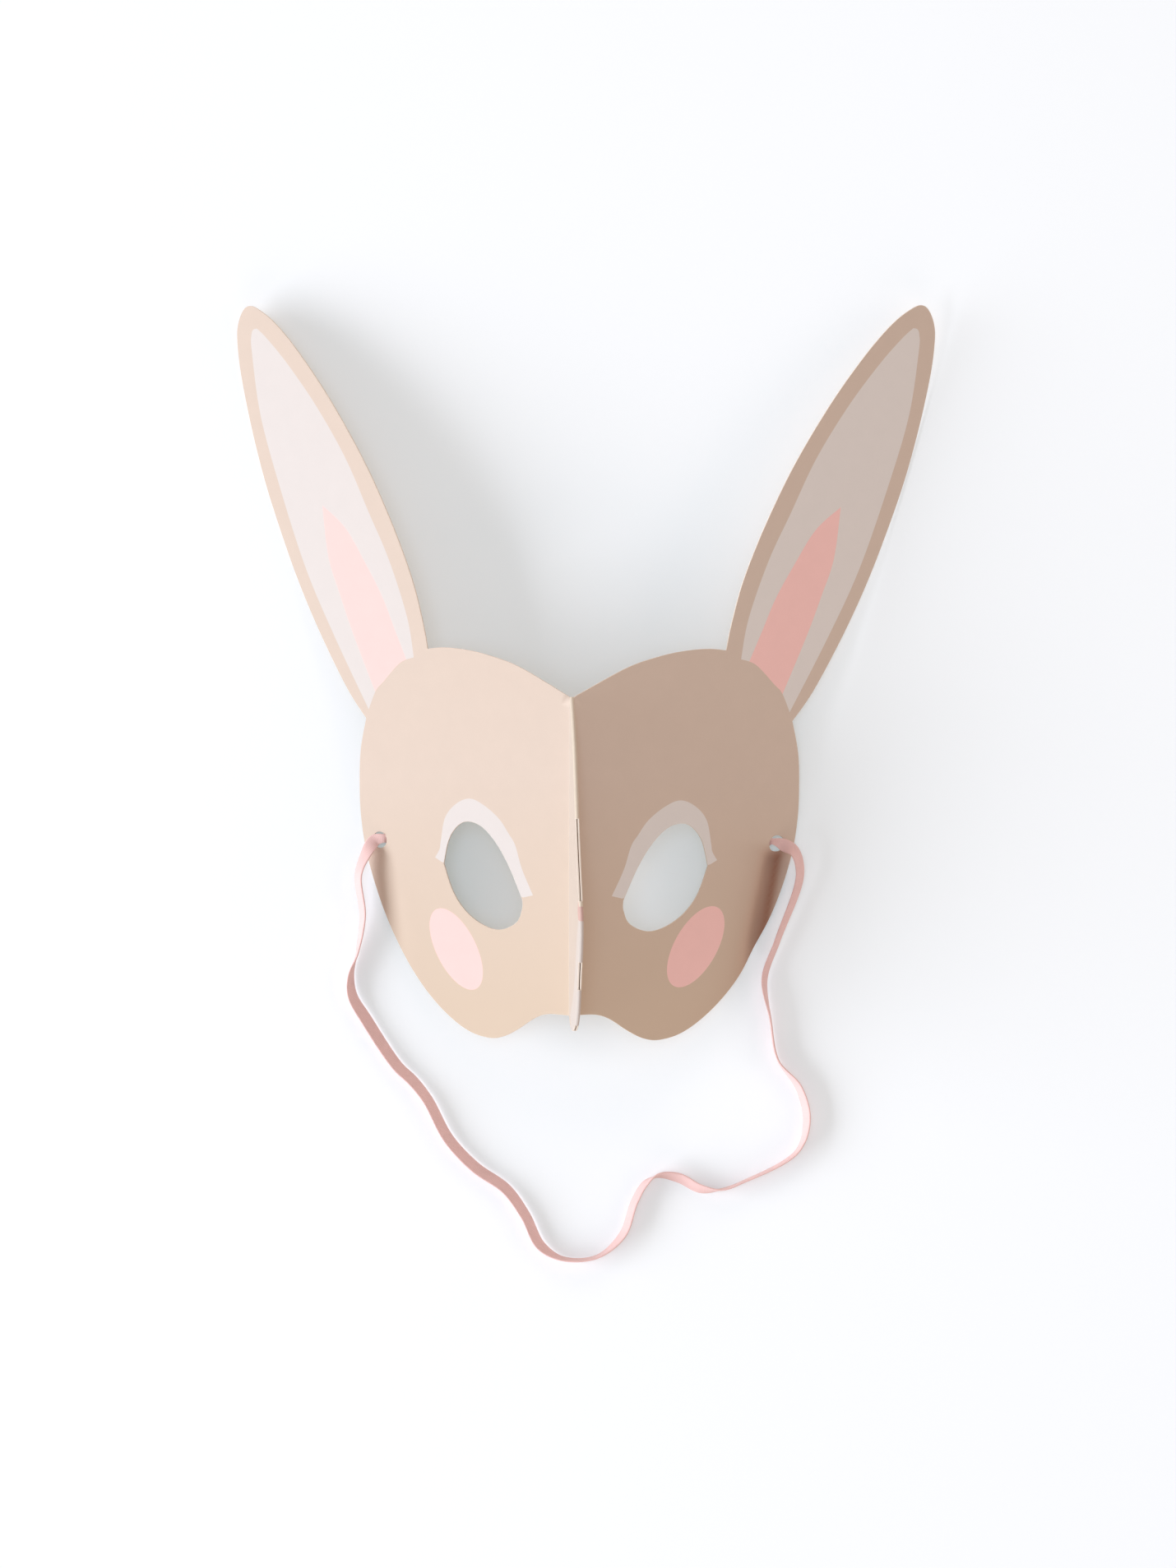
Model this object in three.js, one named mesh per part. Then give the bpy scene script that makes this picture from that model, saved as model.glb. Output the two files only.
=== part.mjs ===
// A rabbit mask folded from one sheet of card, with a flat elastic strap, lying face up on a surface.
// Millimetres, +Z up, ears towards +Y. The origin lies on that surface, under the middle of the card.
import * as THREE from 'three';

const degrees = THREE.MathUtils.degToRad;

// Card.
const cardThickness = 0.6;
const panelTilt = degrees(25);
const noseGap = 0.3;
const noseLean = degrees(15);
const strapHole = { across: 80, along: -55, diameter: 6 };

// Soft dent in the card from the middle of each strap hole down to the cheek's edge, which it bends too.
// It is deep on the right half and faint on the left.
const dent = {
  start: new THREE.Vector2(79.8, -54.2),
  end: new THREE.Vector2(67.2, -109.2),
  rightDepth: 2.8,
  leftDepth: 0.2,
  spread: 2.6,
  fullFrom: 0.13,
  fullTo: 0.6,
};

// Outline of one half in the flat card: across from the fold, along the fold from the notch at its top.
const chinAndCheek = [
  [0, -114.2], [8.5, -114.3], [14.2, -116.2], [21.5, -121], [27.5, -124], [33.5, -124.9], [42, -123],
  [51, -117.6], [60, -109.4], [68.5, -98.6], [75.6, -86.5], [81.5, -73], [86, -59], [88.2, -46], [88.7, -34],
  [88.2, -22], [85.8, -10.3],
];
const earOutline = [
  [85.8, -10.3], [94, 0.4], [105.2, 19.5], [114.9, 38.7], [123.1, 58], [130.3, 77.3], [136.1, 97],
  [140.5, 116], [142.1, 128], [141.8, 134.5], [139.6, 139.6], [136.8, 141.4], [133, 140.3], [125.4, 135],
  [115.7, 125], [104, 110.4], [94, 96], [85, 81.5], [77.4, 67.2], [70.7, 53], [65, 38.7], [61, 24.5],
  [59.2, 15.9],
];
const forehead = [
  [59.2, 15.9], [54, 16.5], [48, 16.4], [40, 15.5], [32.4, 13.9], [24, 11.5], [16, 8.1], [0, 0],
];
const eyeUpperEdge = [
  [52.4, -62.2], [50.4, -53.8], [47, -48.6], [42.5, -46.4], [36.5, -48], [30.5, -53.6], [25, -62],
  [19.5, -73.6],
];
const eyeLowerEdge = [
  [19.5, -73.6], [19.6, -77], [22, -82], [28.8, -85], [36, -83.6], [43.2, -79], [48.5, -72.2], [52.4, -62.2],
];

// Side profile of the nose.
// The card is folded over from a row to the next where folded is true, and slit elsewhere.
const noseProfile = [
  { below: 0, height: 0, folded: true },
  { below: 15, height: 4.9, folded: true },
  { below: 29, height: 7.8, folded: true },
  { below: 42.4, height: 10.3, folded: false },
  { below: 56, height: 13.2, folded: false },
  { below: 70.9, height: 16.9, folded: true },
  { below: 77.7, height: 18.3, folded: true },
  { below: 85.5, height: 18.1, folded: true },
  { below: 92.5, height: 16.8, folded: false },
  { below: 97.5, height: 15.7, folded: false },
  { below: 102.5, height: 14.9, folded: true },
  { below: 110.5, height: 13.2, folded: true },
  { below: 115.8, height: 10.4, folded: false },
  { below: 118.6, height: 6.8, folded: false },
  { below: 118, height: 3, folded: false },
  { below: 114.2, height: 0, folded: false },
];
const foldSteps = 12;
const profileStepsPerRow = 2;
const roundSteps = 4;
const outlineSteps = 2;
const strapHoleSides = 16;
const edgeGrowth = 0.8;

// Sheet points closer than this are one vertex.
// Its flat parts are one where their normals are this alike.
const samePlace = 1e-4;
const sameNormal = 0.999;

// The resting pitch is found by halving the range from 0 to the steepest pitch.
const steepestPitch = degrees(20);
const pitchHalvings = 40;

// Flat elastic strap and its knots. Lift is measured from the middle of the card, towards the printed side.
const strap = { width: 5, thickness: 0.8, bevel: 0.2, aboveSurface: 0.2, stepsPerRow: 2 };
const knot = { across: 72, along: -55, lift: -1.95, length: 6, breadth: 7, thickness: 2.6, steps: 12 };

// One end of the strap, from its knot behind the card out through the punched hole.
// Roll turns the strap about its own run: 0 lies flat, 90 stands on its edge.
const strapEnd = [
  { across: 75.3, along: -55, lift: -1.95, roll: -10 },
  { across: 77.6, along: -55.1, lift: -2.2, roll: -20 },
  { across: 79.8, along: -55.1, lift: -0.6, roll: -24 },
  { across: 81.7, along: -55.6, lift: 1.4, roll: -6 },
];

// The strap's run on the surface, from the left hole to the right one.
// Rise is how far it is held off the surface.
const strapOnSurface = [
  { x: -78, y: -68.6, roll: 33, rise: 4 },
  { x: -80.6, y: -76.3, roll: 53, rise: 3.4 },
  { x: -79, y: -91, roll: 58, rise: 1.7 },
  { x: -81, y: -104.8, roll: 75, rise: 0.4 },
  { x: -83.2, y: -113, roll: 105, rise: 0 },
  { x: -82.6, y: -120.4, roll: 127, rise: 0 },
  { x: -77.4, y: -129.2, roll: 142, rise: 0 },
  { x: -65.8, y: -145.9, roll: 137, rise: 0 },
  { x: -59.7, y: -151.6, roll: 136, rise: 0 },
  { x: -54.2, y: -158.4, roll: 132, rise: 0 },
  { x: -46.4, y: -172.4, roll: 134, rise: 0 },
  { x: -36.4, y: -182.7, roll: 136, rise: 0 },
  { x: -24.9, y: -190.5, roll: 134, rise: 0 },
  { x: -17.7, y: -200.1, roll: 130, rise: 0 },
  { x: -12.1, y: -210.7, roll: 127, rise: 0 },
  { x: -4, y: -215.4, roll: 100, rise: 0 },
  { x: 8.7, y: -214.5, roll: 98, rise: 0 },
  { x: 18, y: -206.3, roll: 121, rise: 0 },
  { x: 22.2, y: -194.3, roll: 122, rise: 0 },
  { x: 26.2, y: -187.5, roll: 112, rise: 0 },
  { x: 31.3, y: -184.6, roll: 70, rise: 0 },
  { x: 38.3, y: -185.4, roll: 43, rise: 0 },
  { x: 46.3, y: -189.2, roll: 50, rise: 0 },
  { x: 54, y: -189.3, roll: 90, rise: 0 },
  { x: 61.8, y: -186.4, roll: 93, rise: 0 },
  { x: 81.2, y: -175.2, roll: 102, rise: 0 },
  { x: 84.7, y: -163.9, roll: 122, rise: 0 },
  { x: 81.8, y: -152.1, roll: 118, rise: 0 },
  { x: 74.1, y: -142, roll: 91, rise: 0 },
  { x: 71.2, y: -127.2, roll: 90, rise: 0.2 },
  { x: 68.9, y: -112.5, roll: 69, rise: 0.4 },
  { x: 73.6, y: -98.2, roll: 69, rise: 1.5 },
  { x: 81.5, y: -74.4, roll: 56, rise: 3.2 },
  { x: 79.5, y: -66, roll: 40, rise: 4 },
];

const foldOffset = (cardThickness + noseGap) / 2;
const ridgeLength = -chinAndCheek[0][1];
const upward = new THREE.Vector3(0, 0, 1);

const vectors = (rows) => rows.map(([across, along]) => new THREE.Vector2(across, along));
const curvePoints = (rows) => {
  const curve = new THREE.SplineCurve(vectors(rows));
  return curve.getPoints((rows.length - 1) * outlineSteps);
};

// Depth of the dent at a flat place on the right half (side 1) or the left (side -1).
function dentDepth(place, side) {
  const line = dent.end.clone().sub(dent.start);
  const away = place.clone().sub(dent.start);
  const part = away.dot(line) / line.lengthSq();
  const beside = away.cross(line) / line.length();
  const rise = THREE.MathUtils.smoothstep(part, 0, dent.fullFrom);
  const fall = 1 - THREE.MathUtils.smoothstep(part, dent.fullTo, 1);
  const depth = side > 0 ? dent.rightDepth : dent.leftDepth;
  return depth * rise * fall * Math.exp(-0.5 * (beside / dent.spread) ** 2);
}

// Longest edge that a triangle of the flat card may have, short at the dent and longer away from it.
function edgeLimit(p, q) {
  const line = new THREE.Line3(
    new THREE.Vector3(dent.start.x, dent.start.y, 0),
    new THREE.Vector3(dent.end.x, dent.end.y, 0),
  );
  const nearest = new THREE.Vector3();
  let distance = Infinity;
  for (const part of [0, 0.25, 0.5, 0.75, 1]) {
    const place = new THREE.Vector3(p.x + (q.x - p.x) * part, p.y + (q.y - p.y) * part, 0);
    line.closestPointToPoint(place, true, nearest);
    distance = Math.min(distance, nearest.distanceTo(place));
  }
  return dent.spread + edgeGrowth * distance;
}

// Splits the longest edges of flat triangles until every edge keeps to its limit.
function refine(points, triangles) {
  const middles = new Map();
  const middle = (a, b) => {
    const key = a < b ? `${a} ${b}` : `${b} ${a}`;
    if (!middles.has(key)) {
      middles.set(key, points.push(points[a].clone().add(points[b]).multiplyScalar(0.5)) - 1);
    }
    return middles.get(key);
  };
  const waiting = [...triangles];
  const done = [];
  while (waiting.length > 0) {
    const corners = waiting.pop();
    let longest = 0;
    let split = -1;
    for (let k = 0; k < 3; k += 1) {
      const p = points[corners[k]];
      const q = points[corners[(k + 1) % 3]];
      const length = p.distanceTo(q);
      if (length > longest && length > edgeLimit(p, q)) {
        longest = length;
        split = k;
      }
    }
    if (split < 0) {
      done.push(corners);
      continue;
    }
    const [a, b, c] = [corners[split], corners[(split + 1) % 3], corners[(split + 2) % 3]];
    const m = middle(a, b);
    waiting.push([a, m, c], [m, b, c]);
  }
  return done;
}

// A folded sheet: the middle of the card as triangles that share their vertices.
// The thickness is given to it at the end.
class Sheet {
  constructor() {
    this.vertices = [];
    this.triangles = [];
    this.places = new Map();
  }

  vertex(at, normal) {
    const key = at.toArray().map((value) => Math.round(value / samePlace)).join(' ');
    if (!this.places.has(key)) {
      this.places.set(key, this.vertices.push({ at, normals: [] }) - 1);
    }
    const index = this.places.get(key);
    const { normals } = this.vertices[index];
    if (!normals.some((other) => other.dot(normal) > sameNormal)) {
      normals.push(normal);
    }
    return index;
  }

  triangle(a, b, c, front) {
    const at = (index) => this.vertices[index].at;
    const facing = at(b).clone().sub(at(a)).cross(at(c).clone().sub(at(a)));
    this.triangles.push(facing.dot(front) > 0 ? [a, b, c] : [a, c, b]);
  }

  // Half the thickness to the printed side. Where two flat parts meet, it ends where their surfaces meet.
  offset({ normals }) {
    if (normals.length === 1) {
      return normals[0].clone().multiplyScalar(cardThickness / 2);
    }
    const [first, second] = normals;
    return first.clone().add(second).multiplyScalar(cardThickness / 2 / (1 + first.dot(second)));
  }

  geometry(finish) {
    const count = this.vertices.length;
    const front = this.vertices.map((vertex) => finish(vertex.at.clone().add(this.offset(vertex))));
    const back = this.vertices.map((vertex) => finish(vertex.at.clone().sub(this.offset(vertex))));
    const directed = new Set(this.triangles.flatMap(([a, b, c]) => [`${a} ${b}`, `${b} ${c}`, `${c} ${a}`]));
    const index = [];
    for (const [a, b, c] of this.triangles) {
      index.push(a, b, c, count + c, count + b, count + a);
      for (const [p, q] of [[a, b], [b, c], [c, a]]) {
        if (!directed.has(`${q} ${p}`)) {
          index.push(count + p, count + q, q, count + p, q, p);
        }
      }
    }
    const geometry = new THREE.BufferGeometry();
    const positions = [...front, ...back].flatMap((point) => point.toArray());
    geometry.setAttribute('position', new THREE.Float32BufferAttribute(positions, 3));
    geometry.setIndex(index);
    geometry.computeVertexNormals();
    return geometry;
  }
}

// Flat points of the fold between a half and its side of the nose, from the notch down.
const foldLine = Array.from({ length: foldSteps + 1 }, (_, k) => (-ridgeLength * k) / foldSteps);

// One half of the face with its ear, on the right (side 1) or the left (side -1).
function addHalf(sheet, side) {
  const outline = [chinAndCheek, earOutline, forehead].flatMap((rows) => curvePoints(rows).slice(0, -1));
  const fold = foldLine.slice(0, -1).map((along) => new THREE.Vector2(0, along));
  const contour = [...outline, ...fold];
  const eye = [eyeUpperEdge, eyeLowerEdge].flatMap((rows) => curvePoints(rows).slice(0, -1));
  const strapRim = new THREE.EllipseCurve(
    strapHole.across, strapHole.along, strapHole.diameter / 2, strapHole.diameter / 2,
  );
  const holes = [eye, strapRim.getPoints(strapHoleSides).slice(0, -1)];
  const points = [contour, ...holes].flat();
  const triangles = refine(points, THREE.ShapeUtils.triangulateShape(contour, holes));
  const outward = new THREE.Vector3(side * Math.cos(panelTilt), 0, -Math.sin(panelTilt));
  const front = new THREE.Vector3(side * Math.sin(panelTilt), 0, Math.cos(panelTilt));
  const indices = points.map((place) => {
    const at = new THREE.Vector3(side * foldOffset, place.y, 0);
    at.addScaledVector(outward, place.x);
    at.addScaledVector(front, -dentDepth(place, side));
    return sheet.vertex(at, front);
  });
  for (const [a, b, c] of triangles) {
    sheet.triangle(indices[a], indices[b], indices[c], front);
  }
}

// Nose profile points from the notch to the chin, each with its direction out of the nose.
function profileRing() {
  const rows = noseProfile.map(({ below, height }) => new THREE.Vector2(-below, height));
  const curve = new THREE.SplineCurve(rows);
  const steps = (rows.length - 1) * profileStepsPerRow;
  return Array.from({ length: steps + 1 }, (_, k) => {
    const at = curve.getPoint(k / steps);
    const tangent = curve.getTangent(k / steps);
    const folded = k < steps && noseProfile[Math.floor(k / profileStepsPerRow)].folded;
    return { at, out: new THREE.Vector2(tangent.y, -tangent.x), folded };
  });
}

// One layer of the nose, standing on its half's fold.
function addNoseLayer(sheet, side, ring) {
  const fold = foldLine.map((along) => new THREE.Vector2(along, 0));
  const edge = ring.slice(1, -1).map(({ at }) => at).reverse();
  const contour = [...fold, ...edge];
  const front = new THREE.Vector3(side, 0, 0);
  const indices = contour.map((place) => {
    const at = new THREE.Vector3(side * foldOffset, place.x, place.y);
    return sheet.vertex(at, front);
  });
  for (const [a, b, c] of THREE.ShapeUtils.triangulateShape(contour, [])) {
    sheet.triangle(indices[a], indices[b], indices[c], front);
  }
}

// The round fold that joins the two layers along parts of the profile.
function addNoseFold(sheet, ring) {
  const round = ({ at, out }) => Array.from({ length: roundSteps + 1 }, (_, k) => {
    const turn = (Math.PI * k) / roundSteps;
    const normal = new THREE.Vector3(Math.cos(turn), Math.sin(turn) * out.x, Math.sin(turn) * out.y);
    const place = new THREE.Vector3(0, at.x, at.y).addScaledVector(normal, foldOffset);
    return { index: sheet.vertex(place, normal), normal };
  });
  ring.slice(0, -1).forEach((point, k) => {
    if (!point.folded) {
      return;
    }
    const near = round(point);
    const far = round(ring[k + 1]);
    for (let j = 0; j < roundSteps; j += 1) {
      const front = near[j].normal.clone().add(near[j + 1].normal);
      sheet.triangle(near[j].index, far[j].index, far[j + 1].index, front);
      sheet.triangle(near[j].index, far[j + 1].index, near[j + 1].index, front);
    }
  });
}

function cardGeometry() {
  const sheet = new Sheet();
  const ring = profileRing();
  for (const side of [-1, 1]) {
    addHalf(sheet, side);
    addNoseLayer(sheet, side, ring);
  }
  addNoseFold(sheet, ring);
  const lean = (point) => point.setX(point.x + Math.tan(noseLean) * Math.max(0, point.z));
  return sheet.geometry(lean);
}

// The pitch at which the card lies on its ear tips and its cheeks.
function restingPitch(geometry) {
  const position = geometry.getAttribute('position');
  const lowest = (pitch, wanted) => {
    let low = Infinity;
    for (let k = 0; k < position.count; k += 1) {
      if (wanted(position.getY(k))) {
        low = Math.min(low, position.getY(k) * Math.sin(pitch) + position.getZ(k) * Math.cos(pitch));
      }
    }
    return low;
  };
  let flat = 0;
  let steep = steepestPitch;
  for (let k = 0; k < pitchHalvings; k += 1) {
    const pitch = (flat + steep) / 2;
    const earsLower = lowest(pitch, (y) => y > 0) < lowest(pitch, (y) => y <= 0);
    flat = earsLower ? pitch : flat;
    steep = earsLower ? steep : pitch;
  }
  return (flat + steep) / 2;
}

// The middle line of the strap, with the direction of its width and its thickness at each step.
class StrapRoute extends THREE.CatmullRomCurve3 {
  constructor(rows) {
    super(rows.map((row) => row.at));
    this.rolls = new THREE.SplineCurve(rows.map((row, k) => new THREE.Vector2(k, row.roll)));
  }

  getSpacedPoints(steps) {
    return this.getPoints(steps);
  }

  computeFrenetFrames(steps) {
    const frames = { tangents: [], normals: [], binormals: [] };
    for (let k = 0; k <= steps; k += 1) {
      const tangent = this.getTangent(k / steps);
      const left = new THREE.Vector3().crossVectors(upward, tangent).normalize();
      const width = left.applyAxisAngle(tangent, degrees(this.rolls.getPoint(k / steps).y));
      frames.tangents.push(tangent);
      frames.normals.push(width);
      frames.binormals.push(new THREE.Vector3().crossVectors(tangent, width));
    }
    return frames;
  }
}

// Height of the strap's middle where its lower edge lies just above the surface.
function restingHeight({ roll, rise }) {
  const widthReach = strap.width * Math.abs(Math.sin(degrees(roll)));
  const thicknessReach = strap.thickness * Math.abs(Math.cos(degrees(roll)));
  return (widthReach + thicknessReach) / 2 + strap.aboveSurface + rise;
}

function strapGeometry(leftHalf, rightHalf) {
  const end = (half, side) => strapEnd.map(({ across, along, lift, roll }) => (
    { at: half.localToWorld(new THREE.Vector3(side * across, along, lift)), roll }
  ));
  const run = strapOnSurface.map((row) => (
    { at: new THREE.Vector3(row.x, row.y, restingHeight(row)), roll: row.roll }
  ));
  const rows = [...end(leftHalf, -1), ...run, ...end(rightHalf, 1).reverse()];
  const [wide, thick, bevel] = [strap.width / 2, strap.thickness / 2, strap.bevel];
  const section = new THREE.Shape(vectors([
    [wide, -thick + bevel], [wide, thick - bevel], [wide - bevel, thick], [-wide + bevel, thick],
    [-wide, thick - bevel], [-wide, -thick + bevel], [-wide + bevel, -thick], [wide - bevel, -thick],
  ]));
  const steps = (rows.length - 1) * strap.stepsPerRow;
  return new THREE.ExtrudeGeometry(section, { steps, extrudePath: new StrapRoute(rows) });
}

function knotGeometry() {
  const geometry = new THREE.SphereGeometry(0.5, knot.steps, knot.steps / 2);
  return geometry.rotateX(Math.PI / 2).scale(knot.length, knot.breadth, knot.thickness);
}

const cardMaterial = new THREE.MeshStandardMaterial({ color: 0xe9d3c4, roughness: 0.7, metalness: 0 });
const elasticMaterial = new THREE.MeshStandardMaterial({ color: 0xebc3bb, roughness: 0.8, metalness: 0 });

function namedMesh(name, geometry, material) {
  const mesh = new THREE.Mesh(geometry, material);
  mesh.name = name;
  return mesh;
}

// The card lies on its ear tips and its cheeks.
const mask = new THREE.Group();
const card = namedMesh('mask_card', cardGeometry(), cardMaterial);
mask.add(card);
mask.rotation.x = restingPitch(card.geometry);
const box = new THREE.Box3().setFromObject(mask, true);
mask.position.set(0, -(box.min.y + box.max.y) / 2, -box.min.z);

// A knot behind each half, in the half's own slope.
function knottedHalf(side, name) {
  const half = new THREE.Group();
  half.position.x = side * foldOffset;
  half.rotation.y = side * panelTilt;
  const elasticKnot = namedMesh(name, knotGeometry(), elasticMaterial);
  elasticKnot.position.set(side * knot.across, knot.along, knot.lift);
  half.add(elasticKnot);
  mask.add(half);
  return half;
}

const leftHalf = knottedHalf(-1, 'elastic_knot_left');
const rightHalf = knottedHalf(1, 'elastic_knot_right');
mask.updateMatrixWorld(true);

const group = new THREE.Group();
group.add(mask);
group.add(namedMesh('elastic_band', strapGeometry(leftHalf, rightHalf), elasticMaterial));
export default group;
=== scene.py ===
import math

import bpy
import numpy as np
from mathutils import Matrix, Vector
from mathutils.geometry import delaunay_2d_cdt


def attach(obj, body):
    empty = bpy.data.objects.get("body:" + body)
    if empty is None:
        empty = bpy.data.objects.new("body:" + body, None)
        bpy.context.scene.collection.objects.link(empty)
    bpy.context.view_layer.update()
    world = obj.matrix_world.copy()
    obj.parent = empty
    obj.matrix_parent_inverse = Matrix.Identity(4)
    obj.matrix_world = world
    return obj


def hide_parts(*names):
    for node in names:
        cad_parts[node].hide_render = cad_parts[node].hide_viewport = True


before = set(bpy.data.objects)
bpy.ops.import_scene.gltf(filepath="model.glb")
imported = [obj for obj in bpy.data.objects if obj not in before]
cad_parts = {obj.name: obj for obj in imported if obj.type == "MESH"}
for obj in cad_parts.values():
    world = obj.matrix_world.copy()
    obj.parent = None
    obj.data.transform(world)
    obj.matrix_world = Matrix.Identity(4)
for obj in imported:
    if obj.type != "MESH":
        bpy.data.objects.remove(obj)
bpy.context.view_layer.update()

# Tables and sizes are in millimetres, as in the CAD, and MM scales them to metres.
MM = 0.001

# Camera: the place that the photograph was taken from and the point on the floor at the picture's middle.
CAMERA_EYE = Vector((80.0, -96.4, 1200.0)) * MM
CAMERA_AIM = Vector((3.3, -41.6, 0.0)) * MM
CAMERA_ROLL = math.radians(0.64)
CAMERA_LENS = 75.0

# Floor. It glows a little, so that the shadows on it stay a pale neutral grey.
FLOOR_SIZE = 60000.0
FLOOR_DROP = 0.1
FLOOR_COLOUR = (0.845, 0.785, 0.8, 1.0)
FLOOR_ROUGHNESS = 0.9
FLOOR_SPECULAR = 0.1
FLOOR_GLOW_COLOUR = (0.56, 0.93, 1.0, 1.0)
FLOOR_GLOW = 0.21

# Soft lights that face the mask: degrees round it from its left towards the chin, degrees over the floor,
# distance, width and height in metres, power in watts, and colour. Weak light comes from all round as well.
WARM = (1.0, 0.85, 0.735)
STUDIO_LIGHTS = {
    "key_light": {"turn": 12, "rise": 19, "distance": 5.2, "size": (5.2, 2.3), "power": 376.0,
                  "colour": (0.82, 0.92, 1.0)},
    "top_light": {"turn": 0, "rise": 89, "distance": 2.2, "size": (1.0, 1.0), "power": 8.6,
                  "colour": (0.556, 0.778, 1.0)},
    "right_fill": {"turn": 180, "rise": 25, "distance": 13.0, "size": (11.0, 5.0), "power": 362.5,
                   "colour": WARM},
    "back_fill": {"turn": -90, "rise": 25, "distance": 13.0, "size": (11.0, 5.0), "power": 290.0,
                  "colour": WARM},
    "front_fill": {"turn": 90, "rise": 20, "distance": 13.0, "size": (11.0, 4.5), "power": 255.0,
                   "colour": WARM},
}
AMBIENT_COLOUR = (1.0, 0.872, 0.767, 1.0)
AMBIENT = 0.43

# How the folded card lies: each half slopes down from the fold, and the whole is turned about X and lifted
# until the ear tips and the cheeks touch the floor.
PANEL_TILT = math.radians(25)
REST_PITCH = math.radians(7.516)
REST_PLACE = np.array((0.0, -12.870, 44.7525))

# Sheet of card. The middle planes of the nose's two layers stand FOLD_OFFSET to either side of the mask's
# middle, the round fold at the nose's foot goes FOLD_REACH to either side of it, and cut edges are worn back
# by EDGE_WEAR.
CARD_THICKNESS = 0.6
NOSE_GAP = 0.3
FOLD_OFFSET = (CARD_THICKNESS + NOSE_GAP) / 2
NOSE_LEAN = math.radians(15)
FOLD_REACH = 0.5
EDGE_WEAR = 0.1

# Outline of one half, laid flat: across from the fold and along from the notch in the forehead.
CHIN_AND_CHEEK = [
    (0, -114.2), (8.5, -114.3), (14.2, -116.2), (21.5, -121), (27.5, -124), (33.5, -124.9), (42, -123),
    (51, -117.6), (60, -109.4), (68.5, -98.6), (75.6, -86.5), (81.5, -73), (86, -59), (88.2, -46),
    (88.7, -34), (88.2, -22), (85.8, -10.3),
]
EAR = [
    (85.8, -10.3), (94, 0.4), (105.2, 19.5), (114.9, 38.7), (123.1, 58), (130.3, 77.3), (136.1, 97),
    (140.5, 116), (142.1, 128), (141.8, 134.5), (139.6, 139.6), (136.8, 141.4), (133, 140.3), (125.4, 135),
    (115.7, 125), (104, 110.4), (94, 96), (85, 81.5), (77.4, 67.2), (70.7, 53), (65, 38.7), (61, 24.5),
    (59.2, 15.9),
]
FOREHEAD = [(59.2, 15.9), (54, 16.5), (48, 16.4), (40, 15.5), (32.4, 13.9), (24, 11.5), (16, 8.1), (0, 0)]
EYE_UPPER_EDGE = [
    (52.4, -62.2), (50.4, -53.8), (47, -48.6), (42.5, -46.4), (36.5, -48), (30.5, -53.6), (25, -62),
    (19.5, -73.6),
]
EYE_LOWER_EDGE = [
    (19.5, -73.6), (19.6, -77), (22, -82), (28.8, -85), (36, -83.6), (43.2, -79), (48.5, -72.2),
    (52.4, -62.2),
]

# Standing nose: how far below the notch, how high over the fold, and whether the card is folded over from
# there to the next row or cut open.
NOSE_PROFILE = [
    (0, 0, True), (15, 4.9, True), (29, 7.8, True), (42.4, 10.3, False), (56, 13.2, False),
    (70.9, 16.9, True), (77.7, 18.3, True), (85.5, 18.1, True), (92.5, 16.8, False), (97.5, 15.7, False),
    (102.5, 14.9, True), (110.5, 13.2, True), (115.8, 10.4, False), (118.6, 6.8, False), (118, 3, False),
    (114.2, 0, False),
]

# Punched strap hole, and the soft dent that runs from it down to the cheek's edge, deep on the right half (1)
# and faint on the left (-1).
HOLE_CENTRE = np.array((80.0, -55.0))
HOLE_DIAMETER = 6.0
DENT_START = np.array((79.8, -54.2))
DENT_END = np.array((67.2, -109.2))
DENT_DEPTHS = {1: 2.8, -1: 0.2}
DENT_SPREAD = 2.6
DENT_FULL_FROM = 0.13
DENT_FULL_TO = 0.6

# The crease down the right half's dent is darkened by painted shade, which stands in for the shade in its
# hollow:
# its line, how far the painted shade reaches towards the face's middle and towards the cheek's edge, how
# strongly, how slowly it starts, and its tint.
CREASE_START = np.array((81.3, -57.0))
CREASE_END = np.array((73.4, -96.5))
CREASE_INNER = 5.2
CREASE_OUTER = 1.6
CREASE_SHADE_STRENGTH = 0.95
CREASE_RISE = 3.0
CREASE_SHADE_TINT = (0.5, 0.28, 0.2)

# Painted shade makes the beige a little deeper and yellower towards the chin, between these places along Y
# in the CAD's frame.
CHIN_TONE_FROM = -40.0
CHIN_TONE_TO = -125.0
CHIN_SHADE_TINT = (0.96, 0.93, 0.85)

# Print on each half, in the same flat measures.
EAR_WHITE_OUTER_SIDE = [
    (133.2, 133), (134.9, 132.6), (135.7, 130.5), (135.6, 125), (131.8, 101), (123.2, 74), (112, 44.5),
    (99.7, 20), (84.6, -7),
]
EAR_WHITE_BASE = [(84.6, -7), (81.5, 0), (78.5, 3.1), (71.1, 10.4), (65.1, 12.6)]
EAR_WHITE_INNER_SIDE = [
    (65.1, 12.6), (68, 27.4), (75.7, 48), (84.4, 65.3), (94.4, 85), (107, 104), (119.4, 119.4),
    (128.5, 129), (133.2, 133),
]
EAR_PINK_INNER_SIDE = [
    (104.5, 67.6), (94.5, 59.3), (86, 46.7), (78.7, 34.5), (73.6, 23.2), (68.6, 12.2), (67.5, 9),
]
EAR_PINK_OUTER_SIDE = [(80.5, -3), (82, 0.3), (91.3, 20.9), (97, 35.2), (101.9, 48.8), (104.5, 67.6)]
LID_OUTER_EDGE = [
    (15, -71.7), (19.6, -62.4), (22.4, -54), (25.1, -50), (29.2, -44.7), (35.7, -40), (41.6, -38),
    (47.4, -40.3), (51.9, -45.5), (53.7, -54), (54.2, -57), (56.1, -60.2),
]
LID_THROUGH_EYE = [(56.1, -60.2), (53.6, -61.6), (48, -63), (26, -72), (19, -72.7), (15, -71.7)]
CHEEK_CENTRES = {1: np.array((47.9, -91.5)), -1: np.array((47.2, -93.3))}
CHEEK_RADII = (16.4, 8.4)
CHEEK_TURN = math.radians(57.5)
NOSE_PINK_FROM = -71.2
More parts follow.
